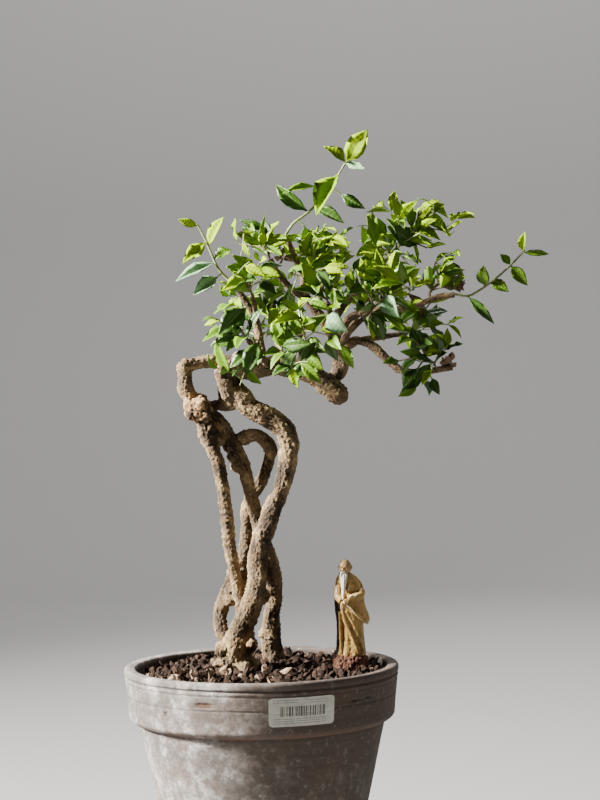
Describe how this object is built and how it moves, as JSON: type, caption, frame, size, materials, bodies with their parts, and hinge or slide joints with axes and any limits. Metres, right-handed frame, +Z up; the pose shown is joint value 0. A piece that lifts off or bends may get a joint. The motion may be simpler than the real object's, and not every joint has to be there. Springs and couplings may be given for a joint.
{
  "type": "barbados cherry bonsai in a clay pot",
  "caption": "Small bonsai of several twisted, fused stems with a sparse leafy crown leaning to one side, in a round tapered clay pot with a sage figurine.",
  "frame": {"origin": "middle of the pot's flat underside", "axes": "+Z up along the pot's axis, -Y towards the viewer, +X towards the side the crown leans to"},
  "size_m": [0.299, 0.19, 0.544],
  "materials": {
    "clay": "weathered grey-brown fired clay with pale lime bloom",
    "soil": "coarse bark and pumice granules",
    "painted_clay": "ochre glazed earthenware, satin",
    "bark": "rough tan to grey-brown bark",
    "leaf": "glossy green leaves, lime new growth"
  },
  "bodies": {
    "root": {"pot": "clay", "soil": "soil", "figurine": "painted_clay", "trunk_main": "bark", "trunk_main_upper": "bark", "trunk_left": "bark", "trunk_right": "bark", "arch": "bark", "trunk_twisted": "bark", "loop_rise": "bark", "loop_cross": "bark", "bridge": "bark", "thin_stem": "bark", "bough_main": "bark", "crown_trunk": "bark", "burl": "bark", "top_knot": "bark", "bough_left_upper": "bark", "bough_left_mid": "bark", "bough_left_low": "bark", "bough_top_left": "bark", "bough_top": "bark", "bough_right_upper": "bark", "bough_right": "bark", "bough_right_front": "bark", "bough_front": "bark", "bough_centre": "bark", "bough_back_right": "bark", "bough_back_left": "bark", "bough_back_top": "bark", "bough_mid_right": "bark", "bough_low_right": "bark", "leaves_left_tip": "leaf", "leaves_left_mid": "leaf", "leaves_left_low": "leaf", "leaves_top_left": "leaf", "leaves_top_centre": "leaf", "leaves_top_shoot": "leaf", "leaves_front": "leaf", "leaves_centre": "leaf", "leaves_right_upper": "leaf", "leaves_right_front": "leaf", "leaves_right_end": "leaf", "leaves_far_shoot": "leaf", "leaves_right_low": "leaf", "leaves_right_mid": "leaf", "leaves_back_right": "leaf", "leaves_back_left": "leaf", "leaves_back_top": "leaf"}
  },
  "joints": []
}
